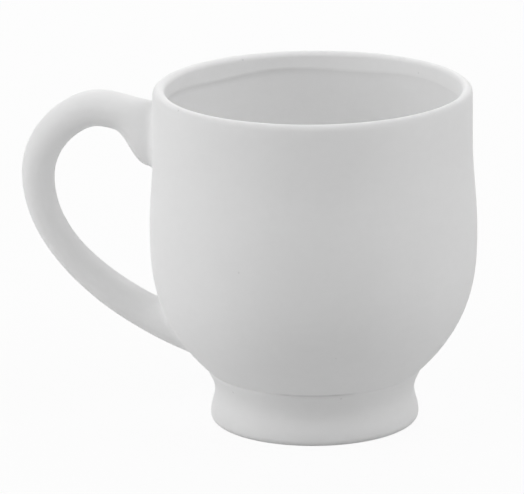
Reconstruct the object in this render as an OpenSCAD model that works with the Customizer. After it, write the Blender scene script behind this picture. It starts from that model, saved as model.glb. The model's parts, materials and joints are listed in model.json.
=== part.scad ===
// Footed drinking mug with an ear handle, slip-cast in one piece and fired to white bisque.
// The mug stands on the table at z = 0, its axis is the Z axis and the handle points along -X.

/* [Body] */
// Height from the table to the top of the lip
mug_h = 100; // [90:0.5:115]
// Outer diameter at the lip and down the straight neck
lip_d = 93.1; // [86:0.1:104]
// Outer diameter at the fullest part of the belly
belly_d = 95.8; // [90:0.1:108]
// Height of the fullest part of the belly
belly_z = 58; // [50:0.5:68]
// How far below the lip the belly has drawn in to the straight neck
neck_drop = 16; // [8:0.5:24]
// How long the bowl stays wide before it turns in: a higher power makes a fuller bowl
bowl_fullness = 2.75; // [2:0.05:3.4]
// Outer diameter at the crease between bowl and foot
crease_d = 62.5; // [58:0.1:70]
// Height of the crease between bowl and foot
crease_z = 15.7; // [12:0.1:20]
// Thickness of the cast wall, square to its surface
wall = 2.8; // [2.2:0.1:4.5]
// Thickness of the cup's floor, over the recess under the foot
floor_t = 4.2; // [3:0.1:6]

/* [Lip] */
// Thickness of the lip and of the thicker band inside it
lip_w = 3.25; // [2.6:0.05:5]
// Width of the lip's outer shoulder, from its crest to the outside
shoulder_w = 2.2; // [1:0.05:2.4]
// Height of the lip's outer shoulder
shoulder_h = 4; // [1:0.1:6]
// Height of the lip's inner edge round
lip_inner_h = 1.2; // [0.5:0.1:3]
// Height of the band inside the lip, measured from the crest
band_h = 5.2; // [3.5:0.1:10]
// Height of the slope under the band, where it runs out to the cast wall
band_slope_h = 0.6; // [0.3:0.1:2]

/* [Foot] */
// Outer diameter of the foot where it stands widest
foot_d = 61.2; // [56:0.1:68]
// Radius of the rounded edges under the foot
foot_round = 1.8; // [0.8:0.1:2.4]
// Outer diameter of the foot's waist
waist_d = 58.7; // [54:0.1:60.5]
// Height of the foot's waist
waist_z = 9; // [6:0.1:11]
// Height of the upright edge that ends the foot, just under the crease
foot_edge_h = 0.7; // [0.2:0.1:1.5]
// Width of the foot ring, from its outside to the recess
ring_w = 6; // [5:0.1:9]
// Depth of the recess under the foot
recess_h = 6.5; // [3:0.1:9]
// How far the recess wall leans in from its mouth to its ceiling
recess_draft = 1; // [0.2:0.1:3]
// Radius of the rounded corner inside the recess
recess_round = 2.5; // [1:0.1:3]

/* [Handle] */
// How far the handle stands out from the neck, to its outermost point
handle_out = 40.1; // [34:0.1:48]
// How far below the lip that outermost point lies
handle_out_drop = 29.5; // [22:0.5:38]
// How far below the lip the top of the arch lies
arch_drop = 3.2; // [1:0.1:8]
// How far out from the neck the top of the arch lies
arch_out = 17.2; // [13:0.1:22]
// How far below the lip the handle's middle line enters the body at the upper root
upper_root_drop = 11.6; // [9:0.1:15]
// Height at which the handle's middle line enters the bowl at the lower root
lower_root_z = 25.2; // [22:0.1:32]
// Slope of the handle's middle line as it enters the upper root, in degrees
upper_root_slope = 10; // [0:1:20]
// Slope of the handle's middle line as it enters the lower root, in degrees
lower_root_slope = 22.5; // [10:0.5:40]
// Thickness of the handle in its own plane at the top of the arch
arch_t = 10.4; // [8:0.1:13]
// Thickness of the handle in its own plane where it is thinnest
grip_t = 8.2; // [7:0.1:12]
// How far below the lip the handle is thinnest
grip_drop = 50; // [42:0.5:54]
// Thickness of the handle in its own plane at the lower root
lower_root_t = 10.2; // [8:0.1:14]
// Width of the handle across its plane
grip_w = 12.6; // [9:0.1:16]
// How much the handle widens across its plane at each root
root_spread = 1.5; // [0:0.1:5]
// How far the underside of the upper root flares down the body
upper_flare = 8.3; // [4:0.1:12]
// Length of handle over which the upper root flares
upper_flare_len = 10.8; // [8:0.1:20]
// How far the top of the lower root flares up the body
lower_flare = 2.2; // [0:0.1:5]
// Length of handle over which the lower root flares
lower_flare_len = 12; // [8:0.5:20]
// Radius of the fillet that blends the handle's sides into the body at both roots
root_fillet = 2; // [0.4:0.1:3]
// Roundness of the handle's section: 2 is an ellipse, more is squarer
section_power = 2.3; // [2:0.05:3]

/* [Hidden] */

clay = [0.87, 0.87, 0.87];
revolve_steps = 144;
$fn = revolve_steps;

lip_r = lip_d / 2;
belly_r = belly_d / 2;
crease_r = crease_d / 2;
foot_r = foot_d / 2;
waist_r = waist_d / 2;
neck_z = mug_h - neck_drop;
floor_z = recess_h + floor_t;

// Points on each curved stretch of the profile
corner_steps = 5;
foot_steps = 8;
bowl_steps = 18;
neck_steps = 10;
floor_steps = 8;

// Points along each stretch of the handle, and round its section
root_rings = 14;
arch_rings = 12;
back_rings = 26;
section_steps = 32;
// How strongly the rings crowd towards the roots, where the fillets are
ring_crowding = 1.5;
// Rings just inside the body, which carry the fillets through its surface
upper_buried = [0.8, 1.6];
lower_buried = [1.2, 2.4, 3.6, 5.2];
// Size of the fillet under the fingers, as a share of that on the sides
finger_fillet = 0.4;
// How straight the middle line leaves and meets its fixed points, as shares of each curve's reach
upper_pulls = [0.7, 0.3];
arch_pulls = [0.36, 0.6];
back_pulls = [0.49, 0.48];
// How far the handle runs on into the body at each root, where the hollow of the cup trims it
upper_root_depth = 6;
lower_root_depth = 16;

// Points of an elliptic arc about a centre, from one angle to another
function arc(centre, rx, rz, from, to, steps) =
    [for (i = [0:steps]) let (a = from + (to - from) * i / steps)
        [centre.x + rx * cos(a), centre.y + rz * sin(a)]];

// A smooth rise from 0 to 1, level at both ends
function ease(s) = let (c = min(1, max(0, s))) (1 - cos(180 * c)) / 2;

// Outer radius of the wall above the crease, at a height
function wall_r(z) =
    z < belly_z ? belly_r - (belly_r - crease_r) * pow((belly_z - z) / (belly_z - crease_z), bowl_fullness)
    : lip_r + (belly_r - lip_r) * (1 - ease((z - belly_z) / (neck_z - belly_z)));

// How fast that radius grows with height
function wall_slope(z) = let (step = 0.05) (wall_r(z + step) - wall_r(z - step)) / (2 * step);

// The point one wall thickness inside the outer surface, square to it
function inside(z) = let (slope = wall_slope(z), n = sqrt(1 + slope * slope))
    [wall_r(z) - wall / n, z + wall * slope / n];

function quadratic(a, b, c, t) = (1 - t) * (1 - t) * a + 2 * t * (1 - t) * b + t * t * c;
function cubic(p, t) = let (s = 1 - t)
    s * s * s * p[0] + 3 * s * s * t * p[1] + 3 * s * t * t * p[2] + t * t * t * p[3];

// Outer profile, from the recess under the foot round to the crest of the lip
recess_mouth_r = foot_r - ring_w;
recess_top_r = recess_mouth_r - recess_draft;
foot_edge_z = crease_z - foot_edge_h;
outer_outline = concat(
    arc([recess_top_r - recess_round, recess_h - recess_round], recess_round, recess_round,
        90, 0, corner_steps),
    arc([recess_mouth_r + foot_round, foot_round], foot_round, foot_round, 180, 270, corner_steps),
    arc([foot_r - foot_round, foot_round], foot_round, foot_round, 270, 360, corner_steps),
    [for (i = [1:foot_steps]) let (s = i / foot_steps)
        [foot_r + (waist_r - foot_r) * ease(s), foot_round + (waist_z - foot_round) * s]],
    [for (i = [1:foot_steps]) let (s = i / foot_steps)
        [waist_r + (crease_r - waist_r) * (1 - cos(90 * s)), waist_z + (foot_edge_z - waist_z) * s]],
    [[crease_r, crease_z]],
    [for (i = [1:bowl_steps]) let (z = crease_z + (belly_z - crease_z) * i / bowl_steps) [wall_r(z), z]],
    [for (i = [1:neck_steps]) let (z = belly_z + (neck_z - belly_z) * i / neck_steps) [wall_r(z), z]],
    arc([lip_r - shoulder_w, mug_h - shoulder_h], shoulder_w, shoulder_h, 0, 90, corner_steps + 1));

// Profile of the hollow of the cup, from the lip down to the middle of the floor
band_r = lip_r - lip_w;
wall_top_z = mug_h - band_h - band_slope_h;
hollow_foot_z = crease_z + wall;
floor_edge = inside(hollow_foot_z);
floor_bend = [floor_edge.x - (floor_edge.y - floor_z) * wall_slope(hollow_foot_z), floor_z];
floor_flat = [max(1, floor_bend.x - norm(floor_edge - floor_bend)), floor_z];
mouth_outline = concat(
    arc([lip_r - shoulder_w, mug_h - lip_inner_h], lip_w - shoulder_w, lip_inner_h, 90, 180, corner_steps),
    [[band_r, mug_h - band_h], inside(wall_top_z)]);
hollow_outline = concat(
    [for (i = [1:bowl_steps]) inside(wall_top_z + (hollow_foot_z - wall_top_z) * i / bowl_steps)],
    [for (i = [1:floor_steps]) quadratic(floor_edge, floor_bend, floor_flat, i / floor_steps)]);

// Thickness of the handle in its own plane, from the arch down past its thinnest place to the lower root
upper_root_z = mug_h - upper_root_drop;
arch_top = [lip_r + arch_out, mug_h - arch_drop - arch_t / 2];
thin_z = mug_h - grip_drop;
function plain_t(z) = grip_t + (z > thin_z
    ? (arch_t - grip_t) * ease((z - thin_z) / (arch_top.y - thin_z))
    : (lower_root_t - grip_t) * ease((thin_z - z) / (thin_z - lower_root_z)));

// The handle's middle line in its own plane: out of the upper root to the top of the arch,
// round to the outermost point, and down and in to the lower root
outermost_z = mug_h - handle_out_drop;
outermost = [lip_r + handle_out - plain_t(outermost_z) / 2, outermost_z];
upper_dir = [cos(upper_root_slope), sin(upper_root_slope)];
lower_dir = [cos(lower_root_slope), sin(lower_root_slope)];
upper_root = [wall_r(upper_root_z), upper_root_z];
lower_root = [wall_r(lower_root_z), lower_root_z];
back_drop = outermost.y - lower_root.y;
back_run = outermost.x - lower_root.x;
upper_curve = [upper_root, upper_root + upper_pulls[0] * arch_out * upper_dir,
    arch_top - [upper_pulls[1] * arch_out, 0], arch_top];
arch_curve = [arch_top, arch_top + [arch_pulls[0] * (outermost.x - arch_top.x), 0],
    outermost + [0, arch_pulls[1] * (arch_top.y - outermost.y)], outermost];
back_curve = [outermost, outermost - [0, back_pulls[0] * back_drop],
    lower_root + back_pulls[1] * back_run * lower_dir, lower_root];

root_ring = 1 + len(upper_buried);
arch_ring = root_ring + root_rings;
outermost_ring = arch_ring + arch_rings;
middle_line = concat(
    [upper_root - upper_root_depth * upper_dir],
    [for (i = [len(upper_buried) - 1:-1:0]) upper_root - upper_buried[i] * upper_dir],
    [for (i = [0:root_rings - 1]) cubic(upper_curve, pow(i / root_rings, ring_crowding))],
    [for (i = [0:arch_rings - 1]) cubic(arch_curve, i / arch_rings)],
    [for (i = [0:back_rings]) cubic(back_curve, 1 - pow(1 - i / back_rings, ring_crowding))],
    [for (depth = lower_buried) lower_root - depth * lower_dir],
    [lower_root - lower_root_depth * lower_dir]);
last_ring = len(middle_line) - 1;

// Direction of the middle line at a ring, and the direction across it, away from the fingers
function along(i) = let (d = middle_line[min(last_ring, i + 1)] - middle_line[max(0, i - 1)]) d / norm(d);
function outward(i) = let (d = along(i)) [-d.y, d.x];

// How much of each root's flare a ring carries, from 0 out on the handle to 1 at the body
function upper_share(i) = i > outermost_ring ? 0
    : ease(1 - (middle_line[i].x - upper_root.x) / upper_flare_len);
function lower_share(i) = i < outermost_ring ? 0
    : ease(1 - (middle_line[i].x - lower_root.x) / lower_flare_len);

// The fillet at a root: how far a point of the handle is moved out from the middle line, by how far
// it stands off the wall. It is full on the sides, small under the fingers and gone along the back.
function off_wall(r, z) = let (slope = wall_slope(z)) (r - wall_r(z)) / sqrt(1 + slope * slope);
function fillet_at(d) = root_fillet * pow(1 - min(1, max(0, d / root_fillet)), 2);
function fillet_share(a) = pow(sin(a), 2) + (cos(a) < 0 ? finger_fillet * pow(cos(a), 2) : 0);

// One ring of the handle: an oval whose finger side reaches further where a root flares
function signed_power(v) = sign(v) * pow(abs(v), 2 / section_power);
function ring(i) =
    let (outer_half = (i < arch_ring ? arch_t : plain_t(middle_line[i].y)) / 2,
         inner_half = outer_half + upper_flare * upper_share(i) + lower_flare * lower_share(i),
         half_w = grip_w / 2 + root_spread * max(upper_share(i), lower_share(i)),
         across = outward(i))
    [for (k = [0:section_steps - 1]) let (
        a = 360 * k / section_steps,
        u = (cos(a) > 0 ? outer_half : inner_half) * signed_power(cos(a)),
        w = half_w * signed_power(sin(a)),
        p = middle_line[i] + u * across,
        push = fillet_share(a) * fillet_at(off_wall(norm([p.x, w]), p.y)),
        q = p + push * cos(a) * across)
        [-q.x, w + push * sin(a), q.y]];

// The revolved blank of the mug, solid inside
module body_blank() {
    rotate_extrude() polygon(concat([[0, recess_h]], outer_outline, [[0, mug_h]]));
}

// The hollow that the slip was poured out of, open at the lip
module cup_hollow() {
    rotate_extrude() polygon(concat([[0, mug_h + wall], [lip_r - shoulder_w, mug_h + wall]],
        mouth_outline, hollow_outline, [[0, floor_z]]));
}

// The handle, swept through its rings
module handle() {
    rings = last_ring + 1;
    n = section_steps;
    points = [for (i = [0:last_ring]) each ring(i)];
    sides = [for (i = [0:last_ring - 1], k = [0:n - 1])
        [i * n + k, (i + 1) * n + k, (i + 1) * n + (k + 1) % n, i * n + (k + 1) % n]];
    first_cap = [for (k = [0:n - 1]) k];
    last_cap = [for (k = [0:n - 1]) (rings - 1) * n + n - 1 - k];
    polyhedron(points, concat(sides, [first_cap, last_cap]));
}

module mug() {
    color(clay) difference() {
        union() {
            body_blank();
            handle();
        }
        cup_hollow();
    }
}

mug();
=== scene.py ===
import json
import math
import bmesh
import bpy
from mathutils import Euler, Matrix, Vector

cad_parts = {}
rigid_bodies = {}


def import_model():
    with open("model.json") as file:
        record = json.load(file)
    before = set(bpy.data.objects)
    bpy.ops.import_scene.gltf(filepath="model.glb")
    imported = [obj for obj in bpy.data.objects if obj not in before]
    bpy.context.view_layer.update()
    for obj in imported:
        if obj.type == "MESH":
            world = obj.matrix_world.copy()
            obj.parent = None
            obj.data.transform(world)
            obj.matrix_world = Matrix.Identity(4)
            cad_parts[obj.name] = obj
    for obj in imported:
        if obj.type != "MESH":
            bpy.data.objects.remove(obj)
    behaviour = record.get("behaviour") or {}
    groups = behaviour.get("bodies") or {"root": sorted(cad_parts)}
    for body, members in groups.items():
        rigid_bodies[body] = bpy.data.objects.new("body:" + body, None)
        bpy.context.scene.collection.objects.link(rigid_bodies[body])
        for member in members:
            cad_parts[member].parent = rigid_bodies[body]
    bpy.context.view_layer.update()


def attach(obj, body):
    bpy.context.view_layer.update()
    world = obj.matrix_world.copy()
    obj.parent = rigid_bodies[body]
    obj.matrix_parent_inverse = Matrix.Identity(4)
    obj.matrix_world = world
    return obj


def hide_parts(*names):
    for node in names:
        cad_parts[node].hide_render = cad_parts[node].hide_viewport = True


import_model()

# The camera: a long lens from well back, a little to the right of square on to the handle and
# looking down into the cup, with the slight lean that the photograph has.
MM = 0.001
azimuth, elevation, lean = math.radians(10), math.radians(15.63), -0.01
aim = Vector((-14.88, -2.62, 51.84)) * MM
distance = 1500 * MM
sensor_w, photo_w, photo_focal_length = 36, 524, 5123


def outwards(around, up):
    """The direction at one angle round from the front and another above the table."""
    return Vector((math.sin(around) * math.cos(up), -math.cos(around) * math.cos(up), math.sin(up)))


turn = Euler((math.pi / 2 - elevation, 0, azimuth)).to_matrix() @ Matrix.Rotation(lean, 3, "Z")
bpy.ops.object.camera_add(location=aim + distance * outwards(azimuth, elevation),
                          rotation=turn.to_euler())
camera = bpy.context.object
camera.data.sensor_width = sensor_w
camera.data.lens = photo_focal_length * sensor_w / photo_w
camera.data.clip_end = 20
bpy.context.scene.camera = camera

# The body: a footed bowl that fills to a belly and draws in to a straight neck with a rounded lip,
# one hollow shell of white earthenware. It is slip-cast: slip stands in a plaster mould until a
# wall of even thickness has set on the plaster, and the rest is poured out at the lip.
mug_h, lip_r, belly_r, belly_z, neck_z = 100, 46.55, 47.9, 58, 84
crease_r, crease_z, crease_edge, bowl_fullness = 31.25, 15.7, 0.3, 2.75
wall, wall_thickens_z, floor_z = 2.8, 78, 10.7
lip_w, lip_inner_h, shoulder_w, shoulder_h, shoulder_square = 3.25, 1.5, 1.6, 4, 5
band_h, band_slope_h, band_step, band_flare = 5.2, 0.6, 0.13, 0.2
foot_r, foot_round, foot_round_h, foot_fullness = 30.62, 1.4, 1.8, 1.1
waist_r, waist_z, foot_edge_z = 29.35, 9, 15
recess_h, recess_r, recess_mouth_r, recess_round = 6.5, 23.6, 24.6, 2.5
round_steps = 160


def ease(s):
    """Goes from 0 to 1 as s does, with a soft start and a soft end."""
    return (1 - math.cos(math.pi * min(1, max(0, s)))) / 2


def wall_r(z):
    """Outer radius of the bowl and neck at a height."""
    if z < belly_z:
        narrower = ((belly_z - z) / (belly_z - crease_z)) ** bowl_fullness
        return belly_r - (belly_r - crease_r) * narrower
    return lip_r + (belly_r - lip_r) * (1 - ease((z - belly_z) / (neck_z - belly_z)))


def wall_slope(z, step=0.05):
    """How fast that radius grows with height."""
    return (wall_r(z + step) - wall_r(z - step)) / (2 * step)


def inside(z, depth):
    """The point a depth inside the outer surface, square to it."""
    slope = wall_slope(z)
    n = math.hypot(1, slope)
    return wall_r(z) - depth / n, z + depth * slope / n


def curve(centre_r, centre_z, rx, rz, start, end, steps, square=2):
    """A rounded edge: points on an elliptic arc, in degrees. Above 2, square makes it tighter."""
    points = []
    for i in range(steps + 1):
        a = math.radians(start + (end - start) * i / steps)
        rise = math.copysign(abs(math.sin(a)) ** (2 / square), math.sin(a))
        points.append((centre_r + rx * math.cos(a), centre_z + rz * rise))
    return points


def span(start, end, steps):
    """Even steps from start to end, without the start."""
    return [start + (end - start) * i / steps for i in range(1, steps + 1)]


def throw(name, profile):
    """Draws a profile as a chain of points that starts and ends on the axis, and turns it round."""
    bpy.ops.object.select_all(action="DESELECT")
    start_r, start_z = profile[0]
    bpy.ops.mesh.primitive_plane_add(size=MM, location=(start_r * MM, 0, start_z * MM))
    piece = bpy.context.object
    piece.name = name
    bpy.ops.object.mode_set(mode="EDIT")
    bpy.ops.mesh.merge(type="CENTER")
    for (r0, z0), (r1, z1) in zip(profile, profile[1:]):
        bpy.ops.mesh.extrude_region_move(
            TRANSFORM_OT_translate={"value": ((r1 - r0) * MM, 0, (z1 - z0) * MM)})
    bpy.ops.mesh.select_all(action="SELECT")
    bpy.ops.mesh.spin(steps=round_steps, angle=2 * math.pi, center=(0, 0, 0), axis=(0, 0, 1))
    bpy.ops.mesh.select_all(action="SELECT")
    bpy.ops.mesh.remove_doubles(threshold=0.005 * MM)
    bpy.ops.mesh.normals_make_consistent(inside=False)
    bpy.ops.object.mode_set(mode="OBJECT")
    bpy.ops.object.transform_apply(location=True, rotation=True, scale=True)
    return piece


underside = [(0, recess_h), (6, recess_h), (14, recess_h)]
underside += curve(recess_r - recess_round, recess_h - recess_round, recess_round, recess_round,
                   90, 0, 6)
underside += curve(recess_mouth_r + foot_round, foot_round, foot_round, foot_round, 180, 270, 6)
underside += curve(foot_r - foot_round, foot_round_h, foot_round, foot_round_h, 270, 360, 12)
foot = [(foot_r + (waist_r - foot_r) * ease(s ** foot_fullness),
         foot_round_h + (waist_z - foot_round_h) * s) for s in span(0, 1, 14)]
foot += [(waist_r + (crease_r - waist_r) * (1 - math.cos(math.pi / 2 * s)),
          waist_z + (foot_edge_z - waist_z) * s) for s in span(0, 1, 10)]
above_crease = crease_z + crease_edge
outside = [(wall_r(z), z)
           for z in [crease_z, above_crease] + span(above_crease, mug_h - shoulder_h, 72)]

# The lip rounds over to its crown and in to a band, which stands a little proud of the cast wall
# under it. That wall thickens a little towards the band.
crown_r, crown_w = lip_r - shoulder_w, lip_w - band_flare - shoulder_w
band_foot_z, under_band_z = mug_h - band_h, mug_h - band_h - band_slope_h
lip = curve(crown_r, mug_h - shoulder_h, shoulder_w, shoulder_h, 0, 90, 16, shoulder_square)[1:]
lip += curve(crown_r, mug_h - lip_inner_h, crown_w, lip_inner_h, 90, 180, 10)[1:]
lip += [(lip_r - lip_w + band_flare * (1 - s),
         mug_h - lip_inner_h - (band_h - lip_inner_h) * s) for s in span(0, 1, 6)]
cast_wall = []
for z in [under_band_z] + span(under_band_z, crease_z + wall, 50):
    thicker = ease((z - wall_thickens_z) / (under_band_z - wall_thickens_z))
    cast_wall.append(inside(z, wall + (lip_w - band_step - wall) * thicker))

# The cup's wall bends into its floor along a curve that runs on from both.
(edge_r, edge_z), (above_r, above_z) = cast_wall[-1], cast_wall[-2]
bend_r = edge_r - (edge_z - floor_z) * (above_r - edge_r) / (above_z - edge_z)
flat_r = bend_r - math.dist((edge_r, edge_z), (bend_r, floor_z))
cup_floor = [((1 - t) ** 2 * edge_r + 2 * t * (1 - t) * bend_r + t * t * flat_r,
              (1 - t) ** 2 * edge_z + 2 * t * (1 - t) * floor_z + t * t * floor_z)
             for t in span(0, 1, 14)]
mug = throw("mug_bisque", underside + foot + outside + lip + cast_wall + cup_floor
            + [(5, floor_z), (0, floor_z)])

# The lip is trimmed and sponged by hand, so it is fuller on the handle's side, between two angles
# round from +X in degrees. The lower edge of the band wanders in three waves, each given by how
# often it goes round, where it starts and how high it is.
fuller_by, fuller_from, fuller_to, fuller_rise, fuller_fall = 0.6, 92, 275, 40, 60
fuller_inset, fuller_low_share, fuller_h = 1.2, 0.3, 5
band_waves, wander_reach = ((2, 1.33, 0.38), (5, -0.33, 0.32), (7, 2.18, 0.28)), 5
band_edge_z = mug_h - band_h - band_slope_h / 2
for v in mug.data.vertices:
    x, y, z = v.co / MM
    r, a = math.hypot(x, y), math.atan2(y, x)
    if z > band_foot_z - 0.01 and r < crown_r:
        around = math.degrees(a) % 360
        fuller = fuller_by * ease((around - fuller_from) / fuller_rise)
        fuller *= ease((fuller_to - around) / fuller_fall) * min(1, (crown_r - r) / fuller_inset)
        fuller *= min(1, fuller_low_share + (z - band_foot_z) / fuller_h)
        v.co.x, v.co.y = v.co.x * (1 - fuller / r), v.co.y * (1 - fuller / r)
    if z < mug_h - lip_inner_h and r < lip_r - lip_w + 1:
        wander = sum(high * math.cos(times * a + start) for times, start, high in band_waves)
        v.co.z -= wander * ease(1 - abs(z - band_edge_z) / wander_reach) * MM

# The handle: an ear with an oval section, cast solid with the body from the same slip. It leaves
# the neck nearly level, turns over in a round arch, thins towards the grip and sweeps in to the
# bowl low down. Both roots flare, the upper one deepest on its underside, where the finger rests.
arch_t, grip_t, lower_root_t, grip_w, section_square = 10.4, 8.2, 10.2, 12.6, 2.3
arch_out, arch_drop, handle_out, outermost_z, thinnest_z = 17.2, 3.2, 40.1, 70.5, 50
upper_root_z, upper_root_slope, lower_root_z, lower_root_slope = 88.4, 10, 25.2, 22.5
upper_flare, upper_flare_len, lower_flare, lower_flare_len, root_spread = 8.3, 10.8, 2.2, 12, 1.5
root_pull, arch_pull, arch_round, grip_round = 12.04, 5.16, 0.36, 0.6
back_pull, bowl_pull = 0.49, 0.48
arch_top = Vector((lip_r + arch_out, mug_h - arch_drop - arch_t / 2))


def plain_t(z):
    """Thickness of the handle past the top of its arch, by height."""
    if z > thinnest_z:
        return grip_t + (arch_t - grip_t) * ease((z - thinnest_z) / (arch_top.y - thinnest_z))
    return grip_t + (lower_root_t - grip_t) * ease((thinnest_z - z) / (thinnest_z - lower_root_z))


def slant(degrees):
    """The direction out from the axis that climbs at this slope."""
    return Vector((math.cos(math.radians(degrees)), math.sin(math.radians(degrees))))


def cubic(p, t):
    """The point a share t of the way along a curve that four points pull into shape."""
    s = 1 - t
    return s ** 3 * p[0] + 3 * s * s * t * p[1] + 3 * s * t * t * p[2] + t ** 3 * p[3]


# Its middle line is three such curves, with its rings closer near the roots and both ends buried.
outermost = Vector((lip_r + handle_out - plain_t(outermost_z) / 2, outermost_z))
upper_root = Vector((wall_r(upper_root_z), upper_root_z))
lower_root = Vector((wall_r(lower_root_z), lower_root_z))
upper_dir, lower_dir = slant(upper_root_slope), slant(lower_root_slope)
rise, run = outermost.y - lower_root.y, outermost.x - lower_root.x
root_bend = [upper_root, upper_root + root_pull * upper_dir,
             arch_top - Vector((arch_pull, 0)), arch_top]
arch_bend = [arch_top, arch_top + Vector((arch_round * (outermost.x - arch_top.x), 0)),
             outermost + Vector((0, grip_round * (arch_top.y - outermost.y))), outermost]
back_bend = [outermost, outermost - Vector((0, back_pull * rise)),
             lower_root + bowl_pull * run * lower_dir, lower_root]
middle_line = [upper_root - d * upper_dir for d in (7, 2.4, 1.6, 0.8)]
middle_line += [cubic(root_bend, (i / 24) ** 1.3) for i in range(24)]
arch_ring = len(middle_line)
middle_line += [cubic(arch_bend, i / 26) for i in range(26)]
outermost_ring = len(middle_line)
middle_line += [cubic(back_bend, 1 - (1 - i / 56) ** 1.15) for i in range(57)]
middle_line += [lower_root - d * lower_dir for d in (0.7, 1.4, 2.1, 2.8, 3.6, 4.5, 5.6, 7, 10, 16)]

bpy.ops.object.select_all(action="DESELECT")
bpy.ops.mesh.primitive_circle_add(vertices=56, radius=MM, fill_type="NGON", location=(0, 0, 0))
handle = bpy.context.object
handle.name = "handle"
for v in handle.data.vertices:
    # the section is a little squarer than an ellipse
    a = math.atan2(v.co.y, v.co.x)
    v.co *= (abs(math.cos(a)) ** section_square
             + abs(math.sin(a)) ** section_square) ** (-1 / section_square)
bpy.ops.object.mode_set(mode="EDIT")
bpy.ops.mesh.select_all(action="SELECT")
at, tilt, half_t, half_w = Vector((0, 0, 0)), 0, 1, 1
for i, point in enumerate(middle_line):
    before, after = middle_line[max(i - 1, 0)], middle_line[min(i + 1, len(middle_line) - 1)]
    d = (after - before).normalized()
    root, flare, flare_len = lower_root, lower_flare, lower_flare_len
    if i < outermost_ring:
        root, flare, flare_len = upper_root, upper_flare, upper_flare_len
    share = ease(1 - (point.x - root.x) / flare_len)
    ring_t = (arch_t if i < arch_ring else plain_t(point.y)) + flare * share
    ring_w = grip_w + 2 * root_spread * share
    # a flare reaches down the fingers' side, so the ring's centre moves that way by half of it
    centre = point + Vector((d.y, -d.x)) * flare * share / 2
    place, ring_tilt = Vector((-centre.x, 0, centre.y)) * MM, math.atan2(-d.x, d.y)
    if i:
        bpy.ops.mesh.extrude_region_move()
    bpy.ops.transform.translate(value=place - at)
    bpy.ops.transform.rotate(value=tilt - ring_tilt, orient_axis="Y", center_override=place)
    bpy.ops.transform.resize(
        value=(ring_t / 2 / half_t, ring_w / 2 / half_w, 1), center_override=place,
        orient_type="GLOBAL", orient_matrix_type="GLOBAL",
        orient_matrix=Matrix(((d.y, 0, -d.x), (0, 1, 0), (d.x, 0, d.y))))
    at, tilt, half_t, half_w = place, ring_tilt, ring_t / 2, ring_w / 2
bpy.ops.mesh.select_all(action="SELECT")
bpy.ops.mesh.normals_make_consistent(inside=False)
bpy.ops.object.mode_set(mode="OBJECT")

# The roots: body and handle are one casting, so each side of the handle runs out into the body in
# a fillet, smaller under the fingers and none along the back. The handle ends halfway through the
# wall, and the line where the two meet is rubbed smooth.
fillet, fillet_steepness, finger_share, handle_mid_z = 2.6, 0.88, 0.4, 60
near_body = handle.vertex_groups.new(name="near the body")
for v in handle.data.vertices:
    x, y, z = v.co / MM
    off_wall = (math.hypot(x, y) - wall_r(z)) / math.hypot(1, wall_slope(z))
    close = fillet_steepness * (1 - min(1, max(0, off_wall / fillet)))
    share = v.normal.y ** 2
    if (v.normal.z < 0) == (z > handle_mid_z):
        share += finger_share * (1 - share)
    near_body.add([v.index], share * (1 - math.sqrt(1 - close * close)), "REPLACE")
swell = handle.modifiers.new("fillet", "DISPLACE")
swell.vertex_group, swell.strength, swell.mid_level = near_body.name, fillet * MM, 0
bpy.ops.object.modifier_apply(modifier="fillet")
handle.vertex_groups.clear()

# A core that fills the cup and half of the wall's thickness cuts off the handle's ends. Over the
# floor it stays a little under the cup's surface.
core_sink, core_spread, core_low_z, core_top_z = 1, 0.4, 17.5, 98
core = throw("core", [(0, floor_z - core_sink)]
             + [(r + core_spread, z - core_sink) for r, z in reversed(cup_floor)]
             + [inside(z, wall / 2) for z in span(core_low_z, core_top_z, 60)] + [(0, core_top_z)])
for piece, other, way in ((handle, core, "DIFFERENCE"), (mug, handle, "UNION")):
    bpy.ops.object.select_all(action="DESELECT")
    piece.select_set(True)
    bpy.context.view_layer.objects.active = piece
    cut = piece.modifiers.new(way, "BOOLEAN")
    cut.operation, cut.solver, cut.object = way, "EXACT", other
    bpy.ops.object.modifier_apply(modifier=way)
    bpy.data.objects.remove(other)
bpy.ops.object.select_all(action="DESELECT")
mug.select_set(True)
bpy.context.view_layer.objects.active = mug
bpy.ops.object.mode_set(mode="EDIT")
bpy.ops.mesh.select_mode(type="EDGE")


def on_wall(v):
    """Whether a point of the mug lies on the outer surface of the bowl or neck."""
    r, z = math.hypot(v.co.x, v.co.y) / MM, v.co.z / MM
    return abs(r - wall_r(z)) < 0.05 and z > crease_z + 1.3


def pick_joint(grow):
    """Selects the line where the handle meets the body, and a band of faces this wide about it."""
    bpy.ops.mesh.select_all(action="DESELECT")
    for edge in joint:
        edge.select_set(True)
    mesh.select_flush_mode()
    for i in range(grow):
        bpy.ops.mesh.select_more()


joint_angle, handle_side_x = math.radians(15), -25 * MM
mesh = bmesh.from_edit_mesh(mug.data)
joint = [e for e in mesh.edges if e.calc_face_angle(0) > joint_angle
         and e.verts[0].co.x < handle_side_x and all(on_wall(v) for v in e.verts)]
pick_joint(4)
bpy.ops.mesh.quads_convert_to_tris(quad_method="BEAUTY", ngon_method="BEAUTY")
bpy.ops.mesh.subdivide(number_cuts=1)
for grow, times in ((3, 8), (2, 12)):
    pick_joint(grow)
    bpy.ops.mesh.vertices_smooth(factor=0.5, repeat=times)
bpy.ops.object.mode_set(mode="OBJECT")
bpy.ops.object.shade_smooth_by_angle(angle=math.radians(40))

# The bisque: earthenware after its one firing, dry and matt, with the fine grain of the clay,
# cloudy patches from the firing, sponge marks, a few pinholes, and a band inside the lip that is a
# little paler. The foot ring is a little worn where it rubs, and the lip a little smoother where it
# is touched; painted shade darkens the lip's crown and the fine line in the crease.


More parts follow.
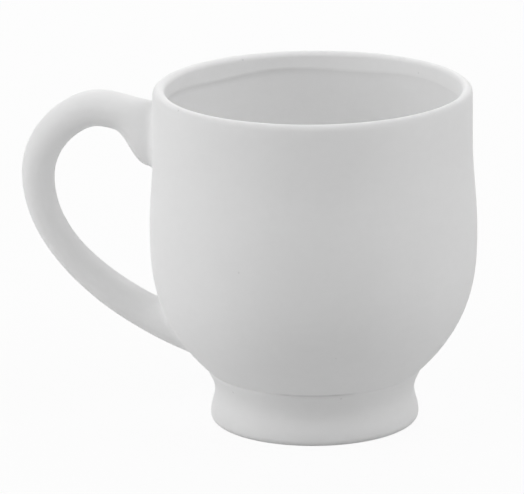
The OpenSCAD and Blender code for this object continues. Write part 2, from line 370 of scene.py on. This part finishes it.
class Wire:
    """A value on its way between shader nodes. Arithmetic on it adds the Math nodes."""

    def __init__(self, tree, socket=None):
        self.tree, self.socket = tree, socket

    def node(self, kind, inputs, settings=None, out=0):
        made = self.tree.nodes.new("ShaderNode" + kind)
        for name, value in (settings or {}).items():
            setattr(made, name, value)
        for name, value in inputs.items():
            if isinstance(value, Wire):
                self.tree.links.new(value.socket, made.inputs[name])
            else:
                made.inputs[name].default_value = value
        return Wire(self.tree, made.outputs[out])

    def math(self, operation, a, b=0.0):
        return self.node("Math", {0: a, 1: b}, {"operation": operation})

    def __add__(self, other):
        return self.math("ADD", self, other)

    def __sub__(self, other):
        return self.math("SUBTRACT", self, other)

    def __rsub__(self, other):
        return self.math("SUBTRACT", other, self)

    def __mul__(self, other):
        return self.math("MULTIPLY", self, other)

    def __gt__(self, other):
        return self.math("GREATER_THAN", self, other)

    __radd__, __rmul__ = __add__, __mul__

    def between(self, low, high):
        """0 at low, 1 at high, and smooth from one to the other."""
        return self.node("MapRange", {"Value": self, "From Min": low, "From Max": high},
                         {"interpolation_type": "SMOOTHSTEP"})


def new_material(name, colour):
    """A material of one shader and one colour, and the wire that its other nodes hang on."""
    material = bpy.data.materials.new(name)
    material.use_nodes = True
    material.diffuse_color = (*colour, 1)
    shader = material.node_tree.nodes["Principled BSDF"]
    shader.inputs["Base Color"].default_value = (*colour, 1)
    return material, shader, Wire(material.node_tree)


bisque, surface, wire = new_material("white bisque", (0.8, 0.8, 0.8))
place = wire.node("TexCoord", {}, out="Object")
x, y, height = (wire.node("SeparateXYZ", {0: place}, out=axis) for axis in "XYZ")
clouds = wire.node("TexNoise", {"Vector": place, "Scale": 38, "Detail": 3})
flecks = wire.node("TexNoise", {"Vector": place, "Scale": 420, "Detail": 2})
grain = wire.node("TexNoise", {"Vector": place, "Scale": 2600, "Detail": 3, "Roughness": 0.6})
drawn_out = wire.node("Mapping", {"Vector": place, "Scale": (0.25, 0.25, 1)})
sponge = wire.node("TexNoise", {"Vector": drawn_out, "Scale": 520, "Detail": 3})
pin_distance = wire.node("TexVoronoi", {"Vector": place, "Scale": 150}, out="Distance")
pin_draw = wire.node("TexVoronoi", {"Vector": place, "Scale": 150}, out="Color")
pin_is_there = wire.node("SeparateColor", {0: pin_draw}, out="Red") > 0.86
pinholes = (1 - pin_distance.between(0.03, 0.07)) * pin_is_there
# painted shade darkens the lip's crown, where it faces up into the light, and the lip is a little
# smoother there
lip_polish_and_painted_shade = height.between(97.5 * MM, 99.8 * MM)
foot_wear = 1 - height.between(0.2 * MM, 1.6 * MM)
# the paler band ends below at its wandering edge and above on the lip's crown
band_edge, around = band_edge_z * MM, wire.math("ARCTAN2", y, x)
for times, start, high in band_waves:
    band_edge = band_edge - wire.math("COSINE", around * times + start) * (high * MM)
off_axis = wire.math("SQRT", x * x + y * y)
paler_band = (height - band_edge).between(-0.1 * MM, 0.3 * MM)
paler_band = paler_band * (1 - off_axis.between(44.5 * MM, 45.5 * MM))
# the turning tool has left a fine groove in the crease at the front, as relief; its darkening is
# painted shade, where shade falls in the crease
line_z, line_w, front = 15.8 * MM, 0.5 * MM, x * 0.17 - y * 0.985
crease_groove_and_painted_shade = height.between(line_z - line_w, line_z) * (1 - height.between(line_z, line_z + line_w))
crease_groove_and_painted_shade = crease_groove_and_painted_shade * front.between(28.7 * MM, 30.6 * MM)
# the shade, roughness and relief of plain clay, and what each mark adds to them; the darkening of
# the lip's crown and of the crease line is painted shade
shade, rough, relief = 0.86, 0.86, 0
for mark, paler, rougher, raised in (
        (clouds - 0.5, 0.035, 0.08, 0.6),
        (flecks - 0.5, 0.02, 0.12, 0),
        (sponge - 0.5, 0.012, 0, 0.35),
        (grain - 0.5, 0, 0, 0.5),
        (paler_band, 0.04, 0, 0),
        (lip_polish_and_painted_shade, -0.025, -0.1, 0),
        (foot_wear, -0.05, -0.12, 0),
        (pinholes, -0.1, 0, -1.6),
        (crease_groove_and_painted_shade, -0.12, 0, -1.2)):
    if paler:
        shade = shade + mark * paler
    if rougher:
        rough = rough + mark * rougher
    if raised:
        relief = relief + mark * raised
surface_colour = wire.node("CombineColor", {"Red": shade, "Green": shade, "Blue": shade})
bump = wire.node("Bump", {"Height": relief, "Strength": 0.35, "Distance": 0.12 * MM})
for name, value in (("Base Color", surface_colour), ("Roughness", rough), ("Normal", bump)):
    wire.tree.links.new(value.socket, surface.inputs[name])
surface.inputs["Specular IOR Level"].default_value = 0.35
mug.data.materials.clear()
mug.data.materials.append(bisque)

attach(mug, "root")
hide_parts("mug")

# The table: a large plain sheet of matt white paper under the mug. It is seen as white but for a
# little of the mug's shadow, and it gives light back to the mug's underside.
table_size, paper_white, paper_shown_white = 8, 0.7, 0.93
bpy.ops.object.select_all(action="DESELECT")
bpy.ops.mesh.primitive_plane_add(size=table_size, location=(0, 0, 0))
table = bpy.context.object
table.name = "table"
paper, paper_surface, wire = new_material("white paper", (paper_white,) * 3)
paper_surface.inputs["Roughness"].default_value = 0.9


def seen(wire):
    """1 on the rays of the camera, of mirror images and of what glass lets through, 0 on others."""
    return (wire.node("LightPath", {}, out="Is Camera Ray")
            + wire.node("LightPath", {}, out="Is Glossy Ray")
            + wire.node("LightPath", {}, out="Is Transmission Ray"))


white = wire.node("Emission", {"Color": (1, 1, 1, 1), "Strength": 1})
mixed = wire.node("MixShader", {0: seen(wire) * paper_shown_white,
                                1: Wire(wire.tree, paper_surface.outputs[0]), 2: white})
wire.tree.links.new(mixed.socket, wire.tree.nodes["Material Output"].inputs["Surface"])
table.data.materials.append(paper)

# The studio: large square soft boxes round the mug, each facing its middle, with powers that give
# the photograph's tones. The room is white where it is seen or mirrored, and gives no other light.
mug_middle = Vector((0, 0, mug_h / 2)) * MM


def soft_box(name, around, up, away, width, power):
    """A soft box, its place by degrees round from the camera's side and above the table."""
    out = outwards(azimuth + math.radians(around), math.radians(up))
    bpy.ops.object.light_add(type="AREA", location=mug_middle + away * out,
                             rotation=out.to_track_quat("Z", "Y").to_euler())
    lamp = bpy.context.object
    lamp.name = name
    lamp.data.size, lamp.data.energy = width, power


soft_box("left", -85, 21, 1.15, 0.9, 4.8)
soft_box("left front", -30, 45, 1.1, 0.9, 2.3)
soft_box("left high", -70, 50, 1.1, 0.9, 2.25)
soft_box("right", 85, 21, 1.15, 0.9, 2.1)
soft_box("right front", 30, 45, 1.1, 0.9, 1.3)
soft_box("right high", 70, 50, 1.1, 0.9, 4.5)
soft_box("behind", 180, 30, 1.1, 1.2, 8)
room = bpy.data.worlds.new("room")
room.use_nodes = True
wire, background = Wire(room.node_tree), room.node_tree.nodes["Background"]
wire.tree.links.new(seen(wire).socket, background.inputs["Strength"])
background.inputs["Color"].default_value = (1, 1, 1, 1)
bpy.context.scene.world = room
bpy.context.scene.view_settings.view_transform = "Standard"
